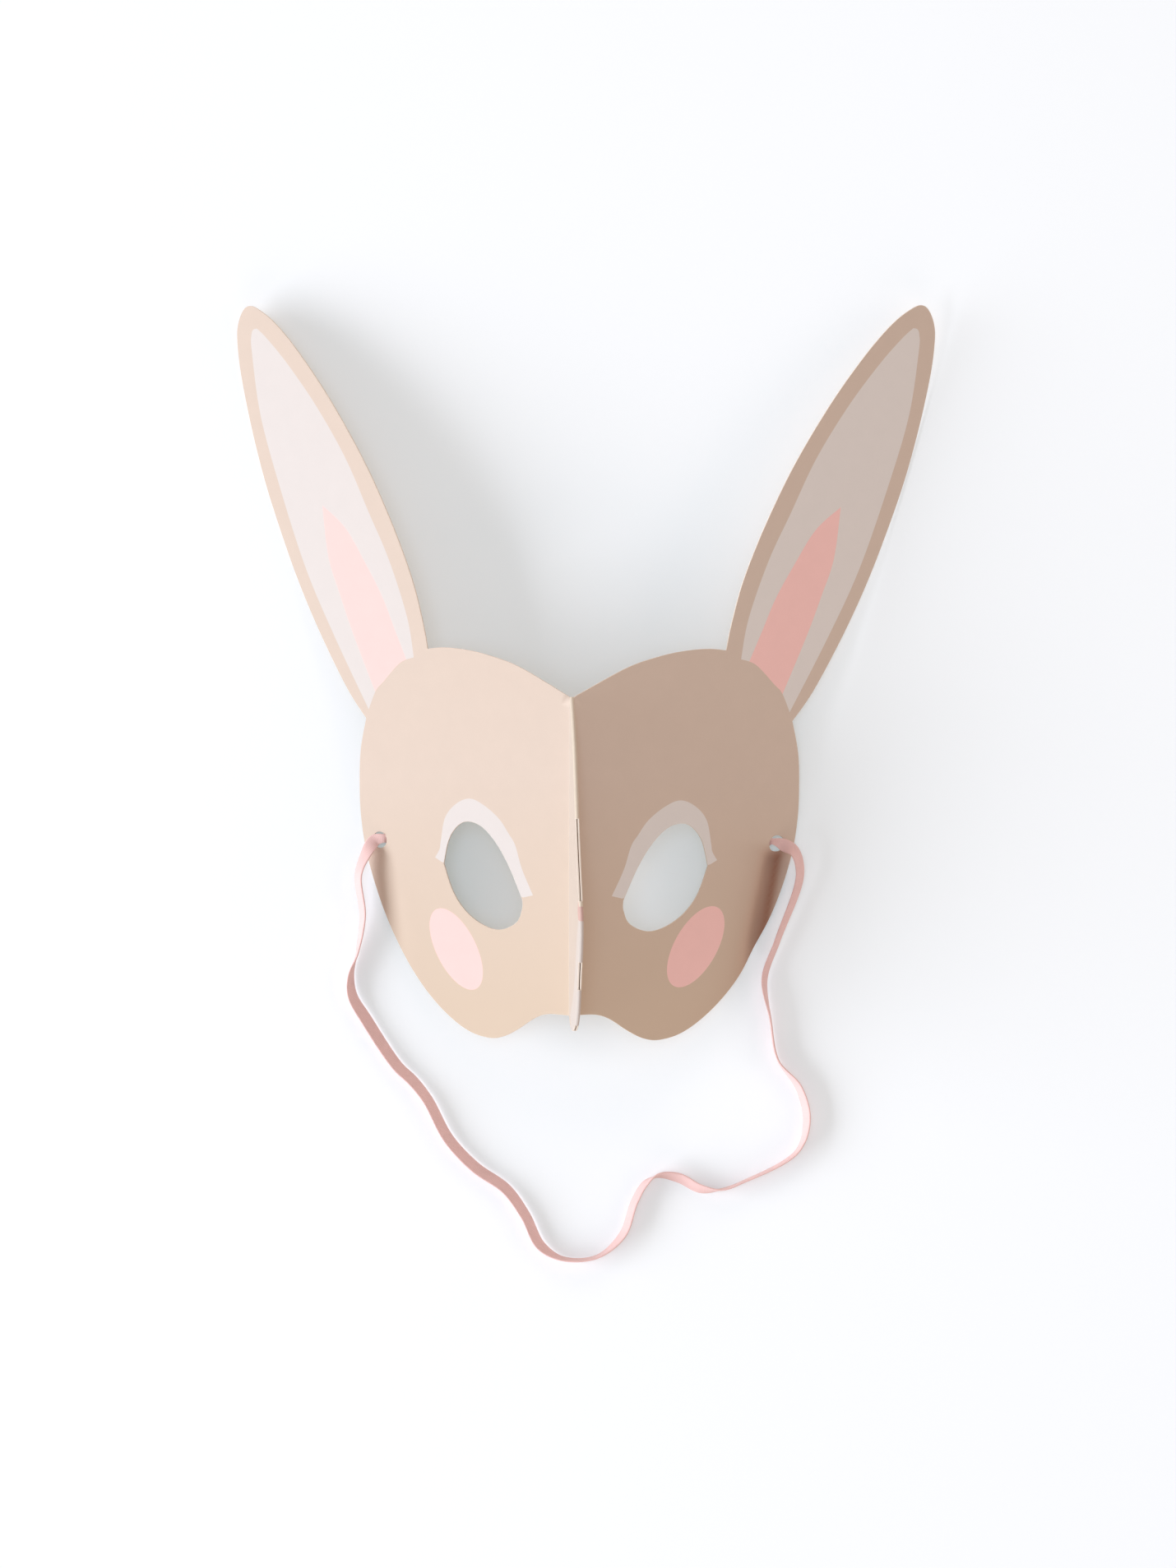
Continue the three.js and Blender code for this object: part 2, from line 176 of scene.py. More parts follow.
NOSE_PINK_TO = -77.4
NOSE_PINK = [
    (-26, NOSE_PINK_FROM), (-16.2, NOSE_PINK_FROM), (-15.2, -74.2), (-16.4, NOSE_PINK_TO),
    (-26, NOSE_PINK_TO),
]
MUZZLE_WHITE = [
    (-26, NOSE_PINK_TO), (-16.4, NOSE_PINK_TO), (-14, -84), (-12, -93), (-9, -103), (-4, -112),
    (-1.6, -126), (-26, -126),
]

# Elastic strap. The end rows run from the knot behind the card out through the hole, in the half's own
# measures: across, along, lift from the card's middle, roll in degrees.
STRAP_WIDTH = 5.0
STRAP_THICKNESS = 0.8
STRAP_ABOVE_SURFACE = 0.2
STRAP_END = [
    (75.3, -55, -1.95, -10), (76.9, -55, -1.95, -18), (78.4, -54.8, -0.1, -24), (81.4, -55.4, 1.4, -6),
]
# The rest of the strap, from the left hole to the right one: x, y, roll in degrees, rise over the floor.
STRAP_ON_SURFACE = [
    (-78, -68.6, 33, 4), (-80.6, -76.3, 53, 3.4), (-79, -91, 58, 1.7), (-81, -104.8, 75, 0.4),
    (-83.2, -113, 105, 0), (-82.6, -120.4, 127, 0), (-77.4, -129.2, 142, 0), (-65.8, -145.9, 137, 0),
    (-59.7, -151.6, 136, 0), (-54.2, -158.4, 132, 0), (-46.4, -172.4, 134, 0), (-36.4, -182.7, 136, 0),
    (-24.9, -190.5, 134, 0), (-17.7, -200.1, 130, 0), (-12.1, -210.7, 127, 0), (-4, -215.4, 100, 0),
    (8.7, -214.5, 98, 0), (18, -206.3, 121, 0), (22.2, -194.3, 122, 0), (26.2, -187.5, 112, 0),
    (31.3, -184.6, 70, 0), (38.3, -185.4, 43, 0), (46.3, -189.2, 50, 0), (54, -189.3, 90, 0),
    (61.8, -186.4, 93, 0), (81.2, -175.2, 102, 0), (84.7, -163.9, 122, 0), (81.8, -152.1, 118, 0),
    (74.1, -142, 91, 0), (71.2, -127.2, 90, 0.2), (68.9, -112.5, 69, 0.4), (73.6, -98.2, 69, 1.5),
    (81.5, -74.4, 56, 3.2), (79.5, -66, 40, 4),
]
# Its steps from row to row and round its section, its ribs, how squarely its sides are rounded, the cup that
# it forms in a hole, how far its ends run into the knots, and the angle above which its edges stay sharp.
STRAP_STEPS = 14
STRAP_RING_STEPS = 33
STRAP_RIBS = 8
STRAP_RIB_DEPTH = 0.07
STRAP_SIDE_POWER = 10
STRAP_CUP = 0.3
STRAP_CUP_LEVEL = 0.4
STRAP_TUCK = 1.4
STRAP_SHARP_ANGLE = 80
# In each hole the strap is drawn together by a share of its width and lies to one side: row from its end,
# share, shift.
STRAP_PINCHES = {-1: (1.9, 0.32, -0.5), 1: (1.9, 0.52, -0.7)}
STRAP_PINCH_REACH = 0.9

# Knot of the strap behind each hole: its middle in the half's measures, its half sizes, its cord's half
# sizes, and what its curve is divided by to fill them.
KNOT_CENTRE = (72.0, -55.0, -1.95)
KNOT_HALF_SIZES = (3.0, 3.5, 1.3)
KNOT_CORD_HALF_SIZES = (0.85, 0.5)
KNOT_CURVE_SIZE = 2.65
KNOT_STEPS = 96
KNOT_RING_STEPS = 12

# Fineness of the sheet: steps between the rows of each line, the lines along the fold as shares of its reach,
# and the spacing of the points between the lines, which is closer round the dent.
RIM_STEPS = 8
NOSE_STEPS = 5
PRINT_STEPS = 8
HOLE_STEPS = 36
ELLIPSE_STEPS = 72
ROUND_STEPS = 8
FOLD_LINES = (-1.0, -0.5, 0.0, 0.5, 1.0)
FOLD_LINE_STEP = 4.0
FOLD_LINES_FROM = -112.0
FOLD_LINES_TO = -3.0
GRID_STEP = 3.2
GRID_CLEARANCE = 0.5 * GRID_STEP
DENT_GRID_STEP = 1.2
DENT_GRID_CLEARANCE = 0.6 * DENT_GRID_STEP
DENT_GRID_REACH = 8.0
DENT_GRID_MARGIN = 20.0
POINTS_AT_A_TIME = 500
MERGE_DISTANCE = 1e-5
SHARP_ANGLE = 35
SHORTEST_VECTOR = 1e-9

# Places of the card's materials in its list.
(BEIGE, LEFT_WHITE_PAINTED_DARKER, RIGHT_WHITE_PAINTED_LIGHTER, PINK, CORE, BACK, WORN,
 NOSE_BEIGE_PAINTED_SHADE, NOSE_WHITE_PAINTED_SHADE, NOSE_ROSE_PAINTED_SHADE, MUZZLE_INSIDE_PAINTED_SHADE) = range(11)

# Looks of the card in that order: name, colour as on a screen, how uneven its tone is, roughness and height
# of its fibres. The two whites are lit and shaded copies of one print: the right half's, in shade, is painted
# lighter as painted light, and the left's, in light, is painted darker as painted shade. The nose's inks are
# painted darker than the halves' as painted shade on the standing nose, and the muzzle's inside is painted
# brown as painted shade in its slit.
PRINT_ROUGHNESS = 0.62
PRINT_FIBRES = 0.012
CARD_LOOKS = {
    BEIGE: ("beige_print", (208, 186, 171), 0.012, PRINT_ROUGHNESS, PRINT_FIBRES),
    LEFT_WHITE_PAINTED_DARKER: ("left_white_print_painted_darker", (212, 200, 195), 0.010, PRINT_ROUGHNESS, PRINT_FIBRES),
    RIGHT_WHITE_PAINTED_LIGHTER: ("right_white_print_painted_lighter", (222, 212, 207), 0.010, PRINT_ROUGHNESS, PRINT_FIBRES),
    PINK: ("pink_print", (243, 194, 188), 0.012, PRINT_ROUGHNESS, PRINT_FIBRES),
    CORE: ("card_edge", (224, 208, 194), 0.03, 0.85, 0.03),
    BACK: ("card_back", (222, 192, 166), 0.025, 0.8, 0.025),
    WORN: ("worn_fold", (206, 188, 170), 0.04, 0.7, 0.02),
    NOSE_BEIGE_PAINTED_SHADE: ("nose_beige_print_painted_shade", (191, 173, 160), 0.012, PRINT_ROUGHNESS, PRINT_FIBRES),
    NOSE_WHITE_PAINTED_SHADE: ("muzzle_print_painted_shade", (193, 179, 171), 0.010, PRINT_ROUGHNESS, PRINT_FIBRES),
    NOSE_ROSE_PAINTED_SHADE: ("nose_rose_print_painted_shade", (193, 156, 146), 0.012, PRINT_ROUGHNESS, PRINT_FIBRES),
    MUZZLE_INSIDE_PAINTED_SHADE: ("muzzle_inside_painted_shade", (150, 92, 56), 0.025, 0.8, 0.025),
}

# Noise in the materials: bumps to the metre, and the values that most of it lies between.
CARD_CLOUDS = 160.0
CARD_CLOUD_DETAIL = 4.0
CARD_FIBRES = 2600.0
ELASTIC_CLOUDS = 220.0
NOISE_LOW = 0.3
NOISE_HIGH = 0.7

# How far the fibres change the card's tone and roughness, and how much it shines.
FIBRE_SHARE = 0.5
ROUGHNESS_SPREAD = 0.06
CARD_SPECULAR = 0.3

# Looks of the elastic: its colour as on a screen, its uneven tones, the weft's spacing, strength, tone and
# height, and its roughness, shine and sheen.
ELASTIC_COLOUR = (232, 192, 188)
ELASTIC_TONES = (0.96, 1.03)
WEFT_SCALE = 0.72
WEFT_SHARE = 0.35
WEFT_TONE = 0.86
WEFT_HEIGHT = 0.03
ELASTIC_ROUGHNESS = (0.72, 0.82)
ELASTIC_SPECULAR = 0.25
ELASTIC_SHEEN = 0.2
ELASTIC_SHEEN_ROUGHNESS = 0.5


def hermite(start, end, leave, arrive, share):
    """Points on the cubic from start to end that leaves and arrives with the two given slopes."""
    squared = share ** 2
    cubed = share ** 3
    return ((2 * cubed - 3 * squared + 1) * start + (cubed - 2 * squared + share) * leave
            + (3 * squared - 2 * cubed) * end + (cubed - squared) * arrive)


def smooth_line(rows, steps):
    """An even Catmull-Rom line through the rows, with that many steps from each row to the next."""
    rows = np.array(rows, float).reshape(len(rows), -1)
    padded = np.vstack([rows[:1], rows, rows[-1:]])
    share = (np.arange(steps) / steps)[:, None]
    spans = [
        hermite(start, end, (end - before) / 2, (after - start) / 2, share)
        for before, start, end, after in zip(padded, padded[1:], padded[2:], padded[3:])
    ]
    return np.vstack(spans + [rows[-1:]])


def smooth_route(rows, steps):
    """A centripetal Catmull-Rom line in space, which doesn't overshoot where rows are close."""
    padded = np.vstack([2 * rows[0] - rows[1], rows, 2 * rows[-1] - rows[-2]])
    share = (np.arange(steps) / steps)[:, None]
    spans = []
    for before, start, end, after in zip(padded, padded[1:], padded[2:], padded[3:]):
        first = math.sqrt(np.linalg.norm(start - before))
        middle = math.sqrt(np.linalg.norm(end - start))
        last = math.sqrt(np.linalg.norm(after - end))
        leave = (start - before) / first - (end - before) / (first + middle) + (end - start) / middle
        arrive = (end - start) / middle - (after - start) / (middle + last) + (after - end) / last
        spans.append(hermite(start, end, leave * middle, arrive * middle, share))
    return np.vstack(spans + [rows[-1:]])


def unit(vectors):
    """The vectors, each scaled to length one."""
    lengths = np.linalg.norm(vectors, axis=-1, keepdims=True)
    return vectors / np.maximum(lengths, SHORTEST_VECTOR)


def smoothstep(value, low, high):
    """0 below low, 1 above high and a smooth rise between."""
    share = np.clip((value - low) / (high - low), 0, 1)
    return share * share * (3 - 2 * share)


def at_rest(points):
    """Turns points from the folded mask's own measures into the CAD's frame, as it lies on the floor."""
    x, y, z = np.moveaxis(np.asarray(points, float), -1, 0)
    turned_y = y * math.cos(REST_PITCH) - z * math.sin(REST_PITCH)
    turned_z = y * math.sin(REST_PITCH) + z * math.cos(REST_PITCH)
    return np.stack([x, turned_y, turned_z], axis=-1) + REST_PLACE


def on_half(side, across, along, lift):
    """Places on the sloping half of that side, in the CAD's frame."""
    x = side * (FOLD_OFFSET + across * math.cos(PANEL_TILT) + lift * math.sin(PANEL_TILT))
    z = lift * math.cos(PANEL_TILT) - across * math.sin(PANEL_TILT)
    return at_rest(np.stack([x, along, z], axis=-1))


def add_object(name, points, faces, materials, face_materials=None, sharp_angle=SHARP_ANGLE,
               point_values=None):
    """A smooth mesh object from points in millimetres, with edges kept sharp above the angle in degrees."""
    mesh = bpy.data.meshes.new(name)
    mesh.from_pydata((np.asarray(points) * MM).tolist(), [], faces)
    for material in materials:
        mesh.materials.append(material)
    if face_materials is not None:
        mesh.polygons.foreach_set("material_index", face_materials)
    for key, values in (point_values or {}).items():
        mesh.attributes.new(key, "FLOAT", "POINT").data.foreach_set("value", values)
    mesh.shade_smooth()
    mesh.set_sharp_from_angle(angle=math.radians(sharp_angle))
    mesh.update()
    thing = bpy.data.objects.new(name, mesh)
    bpy.context.scene.collection.objects.link(thing)
    return thing


def tube_faces(rings, steps):
    """Quads between rings of points, each ring having that many points, and the two end caps."""
    faces = []
    for ring in range(rings - 1):
        for step in range(steps):
            after = (step + 1) % steps
            faces.append((ring * steps + step, ring * steps + after,
                          (ring + 1) * steps + after, (ring + 1) * steps + step))
    faces.append(tuple(reversed(range(steps))))
    faces.append(tuple((rings - 1) * steps + step for step in range(steps)))
    return faces


# Camera

def make_camera():
    """The photograph's camera, level with its picture."""
    forward = (CAMERA_AIM - CAMERA_EYE).normalized()
    level = forward.cross(Vector((0, 1, 0))).normalized()
    upward = level.cross(forward)
    right = level * math.cos(CAMERA_ROLL) + upward * math.sin(CAMERA_ROLL)
    up = upward * math.cos(CAMERA_ROLL) - level * math.sin(CAMERA_ROLL)
    turn = Matrix((right, up, -forward)).transposed()
    data = bpy.data.cameras.new("photo_camera")
    data.lens = CAMERA_LENS
    camera = bpy.data.objects.new("photo_camera", data)
    camera.matrix_world = Matrix.Translation(CAMERA_EYE) @ turn.to_4x4()
    bpy.context.scene.collection.objects.link(camera)
    bpy.context.scene.camera = camera


make_camera()


# Materials

class Shader:
    """A material's nodes, added and joined one by one."""

    def __init__(self, name):
        self.material = bpy.data.materials.new(name)
        self.material.use_nodes = True
        self.tree = self.material.node_tree
        self.surface = self.tree.nodes["Principled BSDF"]

    def node(self, kind, values=None, inputs=None):
        """A new node with its settings and its fixed or joined inputs."""
        made = self.tree.nodes.new(kind)
        for key, value in (values or {}).items():
            setattr(made, key, value)
        for key, value in (inputs or {}).items():
            self.join(value, made.inputs[key])
        return made

    def join(self, value, socket):
        """Joins an output to the socket, or sets the socket to a plain value."""
        if isinstance(value, bpy.types.NodeSocket):
            self.tree.links.new(value, socket)
        else:
            socket.default_value = value

    def set(self, **inputs):
        """Sets or joins the surface's own inputs, named with underscores for spaces."""
        for key, value in inputs.items():
            self.join(value, self.surface.inputs[key.replace("_", " ")])

    def noise(self, place, scale, detail=3.0):
        """Soft noise of that many bumps to the metre."""
        made = self.node("ShaderNodeTexNoise", inputs={"Vector": place, "Scale": scale, "Detail": detail})
        return made.outputs["Fac"]

    def between(self, share, low, high):
        """Maps the share of a noise to a value from low to high."""
        made = self.node("ShaderNodeMapRange", inputs={
            "Value": share, "From Min": NOISE_LOW, "From Max": NOISE_HIGH, "To Min": low, "To Max": high})
        return made.outputs["Result"]

    def blend(self, share, first, second):
        """The colour that goes from the first to the second by the share."""
        made = self.node("ShaderNodeMix", {"data_type": "RGBA"})
        self.join(share, made.inputs["Factor"])
        colours = [socket for socket in made.inputs if socket.type == "RGBA"]
        self.join(first, colours[0])
        self.join(second, colours[1])
        return next(socket for socket in made.outputs if socket.type == "RGBA")

    def bump(self, height, distance):
        """A bump that is that many metres high."""
        made = self.node("ShaderNodeBump", inputs={"Height": height, "Distance": distance})
        return made.outputs["Normal"]


def linear(red, green, blue):
    """A colour given as on a screen, from 0 to 255, as the linear colour that a shader takes."""
    shares = [value / 255 for value in (red, green, blue)]
    return tuple(((s + 0.055) / 1.055) ** 2.4 if s > 0.04045 else s / 12.92 for s in shares) + (1.0,)


def scaled(colour, factor):
    """The colour with its red, green and blue multiplied."""
    return tuple(min(1.0, value * factor) for value in colour[:3]) + (1.0,)


def tinted(colour, tint):
    """The colour with its red, green and blue each multiplied by its own share."""
    return tuple(value * share for value, share in zip(colour, tint)) + (1.0,)


def paper(name, colour, mottle, roughness, fibre_height, is_face):
    """Card with fine fibres, a slightly uneven tone and, on the face, painted shade at the chin and in a
    crease.
    """
    shader = Shader(name)
    place = shader.node("ShaderNodeTexCoord").outputs["Object"]
    clouds = shader.noise(place, CARD_CLOUDS, CARD_CLOUD_DETAIL)
    fibres = shader.noise(place, CARD_FIBRES)
    cloudy = shader.between(clouds, 0.0, 1.0)
    fibrous = shader.between(fibres, 0.0, FIBRE_SHARE)
    tone = shader.blend(cloudy, scaled(colour, 1 - mottle), scaled(colour, 1 + mottle))
    speckled = shader.blend(fibrous, tone, scaled(colour, 1 - 2 * mottle))
    if is_face:
        # Painted shade: the beige grows deeper and yellower towards the chin.
        along = shader.node("ShaderNodeSeparateXYZ", inputs={"Vector": place}).outputs["Y"]
        low = shader.node("ShaderNodeMapRange", inputs={
            "Value": along, "From Min": CHIN_TONE_FROM * MM, "From Max": CHIN_TONE_TO * MM})
        speckled = shader.blend(low.outputs["Result"], speckled, tinted(colour, CHIN_SHADE_TINT))
        # Painted shade along the right half's crease, from the crease values that the card's points carry.
        crease = shader.node("ShaderNodeAttribute", {"attribute_name": "crease"}).outputs["Fac"]
        speckled = shader.blend(crease, speckled, tinted(colour, CREASE_SHADE_TINT))
    shader.set(
        Base_Color=speckled,
        Roughness=shader.between(fibres, roughness - ROUGHNESS_SPREAD, roughness + ROUGHNESS_SPREAD),
        Specular_IOR_Level=CARD_SPECULAR,
        Normal=shader.bump(fibres, fibre_height * MM),
    )
    return shader.material


def elastic():
    """Flat woven elastic: ribs along the strap, fine weft across it and a soft sheen."""
    shader = Shader("woven_elastic")
    strap_map = shader.node("ShaderNodeUVMap", {"uv_map": "strap_map"}).outputs["UV"]
    wave = shader.node("ShaderNodeTexWave", {"bands_direction": "X"},
                       {"Vector": strap_map, "Scale": WEFT_SCALE})
    weft = wave.outputs["Fac"]
    place = shader.node("ShaderNodeTexCoord").outputs["Object"]
    clouds = shader.noise(place, ELASTIC_CLOUDS)
    colour = linear(*ELASTIC_COLOUR)
    darkest, lightest = ELASTIC_TONES
    cloudy = shader.between(clouds, 0.0, 1.0)
    tone = shader.blend(cloudy, scaled(colour, darkest), scaled(colour, lightest))
    woven = shader.blend(shader.between(weft, 0.0, WEFT_SHARE), tone, scaled(colour, WEFT_TONE))
    shader.set(
        Base_Color=woven,
        Roughness=shader.between(clouds, *ELASTIC_ROUGHNESS),
        Specular_IOR_Level=ELASTIC_SPECULAR,
        Sheen_Weight=ELASTIC_SHEEN,
        Sheen_Roughness=ELASTIC_SHEEN_ROUGHNESS,
        Normal=shader.bump(weft, WEFT_HEIGHT * MM),
    )
    return shader.material


card_materials = [
    paper(name, linear(*colour), mottle, roughness, fibre_height, is_face=place == BEIGE)
    for place, (name, colour, mottle, roughness, fibre_height) in CARD_LOOKS.items()
]
elastic_material = elastic()


# Elastic strap

def strap_rows():
    """The strap's route from knot to knot and its roll at each row, in degrees."""
    places = []
    rolls = []
    for across, along, lift, roll in STRAP_END:
        places.append(on_half(-1, across, along, lift))
        rolls.append(roll)
    for x, y, roll, rise in STRAP_ON_SURFACE:
        turn = math.radians(roll)
        height = (STRAP_WIDTH * abs(math.sin(turn)) + STRAP_THICKNESS * abs(math.cos(turn))) / 2
        places.append((x, y, height + STRAP_ABOVE_SURFACE + rise))
        rolls.append(roll)
    for across, along, lift, roll in reversed(STRAP_END):
        places.append(on_half(1, across, along, lift))
        rolls.append(roll)
    return np.array(places), rolls


def strap_ring():
    """One section of the strap: places across and through it, with ribs on both faces and round edges."""
    across = np.sin(np.linspace(-math.pi / 2, math.pi / 2, STRAP_RING_STEPS))
    rounding = np.sqrt(np.clip(1 - np.abs(across) ** STRAP_SIDE_POWER, 0, 1))
    ribs = (1 - np.cos(STRAP_RIBS * math.pi * (across + 1))) / 2
    half = STRAP_THICKNESS / 2 * rounding - STRAP_RIB_DEPTH * (1 - ribs) * rounding
    there = np.column_stack([across, -half])
    back = np.column_stack([across, half])[::-1][1:-1]
    return np.vstack([there, back])


def make_strap():
    """The strap, the line that it follows and its length, both in metres."""
    places, rolls = strap_rows()
    route = smooth_route(places, STRAP_STEPS)
    turns = np.radians(smooth_line(rolls, STRAP_STEPS)[:, 0])
    row = np.linspace(0, len(rolls) - 1, len(route))

    # The ends run on into the knots.
    first = route[0] + unit(route[0] - route[1]) * STRAP_TUCK
    last = route[-1] + unit(route[-1] - route[-2]) * STRAP_TUCK
    route = np.vstack([first, route, last])
    turns = np.pad(turns, 1, mode="edge")
    row = np.pad(row, 1, mode="edge")
    ahead = unit(np.gradient(route, axis=0))
    level = unit(np.cross((0, 0, 1), ahead))
    upward = np.cross(ahead, level)
    wide = level * np.cos(turns)[:, None] + upward * np.sin(turns)[:, None]
    through = np.cross(ahead, wide)

    # The strap is drawn together and cupped where it passes through a hole.
    ring = strap_ring()
    cup = STRAP_CUP * (ring[:, 0] ** 2 - STRAP_CUP_LEVEL)
    sideways = np.tile(STRAP_WIDTH / 2 * ring[:, 0], (len(route), 1))
    depth = np.tile(ring[:, 1], (len(route), 1))
    for side, (pinch_row, share, shift) in STRAP_PINCHES.items():
        from_end = row if side < 0 else len(rolls) - 1 - row
        pinch = np.exp(-((from_end - pinch_row) / STRAP_PINCH_REACH) ** 2)[:, None]
        sideways += pinch * (shift - share * STRAP_WIDTH / 2 * ring[:, 0])
        depth += pinch * cup
    points = route[:, None] + wide[:, None] * sideways[..., None] + through[:, None] * depth[..., None]

    steps = len(ring)
    faces = tube_faces(len(route), steps)
    strap = add_object("elastic_strap", points.reshape(-1, 3), faces, [elastic_material],
                       sharp_angle=STRAP_SHARP_ANGLE)
    travelled = np.concatenate([[0], np.cumsum(np.linalg.norm(np.diff(route, axis=0), axis=1))])
    across = np.tile(ring[:, 0] * STRAP_WIDTH / 2, len(route))
    flat_map = np.column_stack([np.repeat(travelled, steps), across])
    corners = np.zeros(len(strap.data.loops), int)
    strap.data.loops.foreach_get("vertex_index", corners)
    strap.data.uv_layers.new(name="strap_map").data.foreach_set("uv", flat_map[corners].ravel())
    return strap, route * MM, travelled[-1] * MM


def make_knot(name, side):
    """A small flat overhand knot of the strap, pulled tight behind the card."""
    turn = np.linspace(0, 2 * math.pi, KNOT_STEPS, endpoint=False)
    line = np.column_stack([
        (np.sin(turn) + 2 * np.sin(2 * turn)) / KNOT_CURVE_SIZE,
        (np.cos(turn) - 2 * np.cos(2 * turn)) / KNOT_CURVE_SIZE,
        -np.sin(3 * turn),
    ])
    cord_wide, cord_deep = KNOT_CORD_HALF_SIZES
    reach = np.array(KNOT_HALF_SIZES) - (cord_wide, cord_wide, cord_deep)
    line = line * reach
    ahead = unit(np.roll(line, -1, axis=0) - np.roll(line, 1, axis=0))
    sideways = unit(np.cross((0, 0, 1), ahead))
    deep = np.cross(ahead, sideways)
    angle = np.linspace(0, 2 * math.pi, KNOT_RING_STEPS, endpoint=False)
    points = (line[:, None] + sideways[:, None] * (cord_wide * np.cos(angle))[None, :, None]
              + deep[:, None] * (cord_deep * np.sin(angle))[None, :, None])
    across, along, lift = np.moveaxis(points.reshape(-1, 3) + KNOT_CENTRE, -1, 0)
    faces = []
    for ring in range(KNOT_STEPS):
        after = (ring + 1) % KNOT_STEPS
        for step in range(KNOT_RING_STEPS):
            beside = (step + 1) % KNOT_RING_STEPS
            quad = (ring * KNOT_RING_STEPS + step, ring * KNOT_RING_STEPS + beside,
                    after * KNOT_RING_STEPS + beside, after * KNOT_RING_STEPS + step)
            faces.append(quad if side > 0 else quad[::-1])
    return add_object(name, on_half(side, across, along, lift), faces, [elastic_material])


strap, strap_path, strap_length = make_strap()
knots = {
    "elastic_knot_left": make_knot("knot_behind_left", -1),
    "elastic_knot_right": make_knot("knot_behind_right", 1),
}
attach(strap, "root")
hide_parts("elastic_band")
for node, knot in knots.items():
    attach(knot, "root")
    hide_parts(node)


# Folded card

def inside(points, loop):
    """Which of the points lie inside the closed loop."""
    x = points[:, :1]
    y = points[:, 1:]
    start = loop
    end = np.roll(loop, -1, axis=0)
    spans = (start[:, 1] > y) != (end[:, 1] > y)
    rise = np.where(end[:, 1] == start[:, 1], 1.0, end[:, 1] - start[:, 1])
    meets = start[:, 0] + (y - start[:, 1]) * (end[:, 0] - start[:, 0]) / rise
    return np.count_nonzero(spans & (x < meets), axis=1) % 2 == 1


def closed(*lines):
    """One closed loop from lines that follow each other."""
    return np.vstack([line[:-1] for line in lines])


def smooth_lines(steps, *tables):
    """A smooth line through the rows of each table, with that many steps from row to row."""
    return [smooth_line(rows, steps) for rows in tables]


def ellipse(centre, radii, turn, steps):
    """A closed loop round an ellipse whose first radius is turned from the across direction."""
    angle = np.linspace(0, 2 * math.pi, steps, endpoint=False)
    first = np.array((math.cos(turn), math.sin(turn)))
    second = np.array((-first[1], first[0]))
    return centre + np.outer(radii[0] * np.cos(angle), first) + np.outer(radii[1] * np.sin(angle), second)


def beside_line(flat, start, end):
    """How far each flat place is along the line, and how far it is beside it towards the face's middle."""
    line = unit(end - start)
    away = flat - start
    return away @ line, away[:, 0] * line[1] - away[:, 1] * line[0]


def dent_depth(flat, side):
    """How far the card is pressed in at each flat place of that side's half."""
    travelled, inward = beside_line(flat, DENT_START, DENT_END)
    part = travelled / math.dist(DENT_START, DENT_END)
    ends = smoothstep(part, 0, DENT_FULL_FROM) * (1 - smoothstep(part, DENT_FULL_TO, 1))
    return DENT_DEPTHS[side] * ends * np.exp(-0.5 * (inward / DENT_SPREAD) ** 2)


def crease_shade(flat):
    """How much painted shade darkens the crease at each flat place of the right half, from 0 to 1."""
    travelled, inward = beside_line(flat, CREASE_START, CREASE_END)
    begun = smoothstep(travelled, -CREASE_RISE, CREASE_RISE)
    inner_fade = np.exp(-np.maximum(inward, 0) / CREASE_INNER)
    outer_fade = np.exp(-0.5 * (np.minimum(inward, 0) / CREASE_OUTER) ** 2)
    return CREASE_SHADE_STRENGTH * begun * inner_fade * outer_fade


def hex_grid(low, high, step):
    """Points in rows, each row shifted by half a step from the one before."""
    rows = []
    for count, y in enumerate(np.arange(low[1], high[1], step * math.sqrt(3) / 2)):
        x = np.arange(low[0], high[0], step) + (count % 2) * step / 2
        rows.append(np.column_stack([x, np.full(len(x), y)]))
    return np.vstack(rows)


def clear_of(points, others, distance):
    """The points that keep the distance from all the others."""
    keep = np.ones(len(points), bool)
    for first in range(0, len(points), POINTS_AT_A_TIME):
        part = slice(first, first + POINTS_AT_A_TIME)
        gaps = np.linalg.norm(points[part, None] - others[None], axis=2).min(axis=1)
        keep[part] = gaps > distance
    return points[keep]


def half_outlines():
    """The nose's edge, and the closed lines of one half laid flat: its cut edges first, then its print."""
    nose = smooth_line([(-height, -below) for below, height, folded in NOSE_PROFILE], NOSE_STEPS)
    pink_base = np.array([EAR_PINK_INNER_SIDE[-1], EAR_PINK_OUTER_SIDE[0]], float)
    pink_inner, pink_outer = smooth_lines(PRINT_STEPS, EAR_PINK_INNER_SIDE, EAR_PINK_OUTER_SIDE)
    outlines = {
        "rim": closed(*smooth_lines(RIM_STEPS, CHIN_AND_CHEEK, EAR, FOREHEAD), nose),
        "eye": closed(*smooth_lines(RIM_STEPS, EYE_UPPER_EDGE, EYE_LOWER_EDGE)),
        "hole": ellipse(HOLE_CENTRE, (HOLE_DIAMETER / 2,) * 2, 0, HOLE_STEPS),
        "ear_white": closed(*smooth_lines(
            PRINT_STEPS, EAR_WHITE_OUTER_SIDE, EAR_WHITE_BASE, EAR_WHITE_INNER_SIDE)),
        "ear_pink": closed(pink_inner, pink_base, pink_outer),
        "lid": closed(smooth_line(LID_OUTER_EDGE, PRINT_STEPS), np.array(LID_THROUGH_EYE, float)),
        "right_cheek": ellipse(CHEEK_CENTRES[1], CHEEK_RADII, CHEEK_TURN, ELLIPSE_STEPS),
        "left_cheek": ellipse(CHEEK_CENTRES[-1], CHEEK_RADII, CHEEK_TURN, ELLIPSE_STEPS),
    }
    return nose, outlines


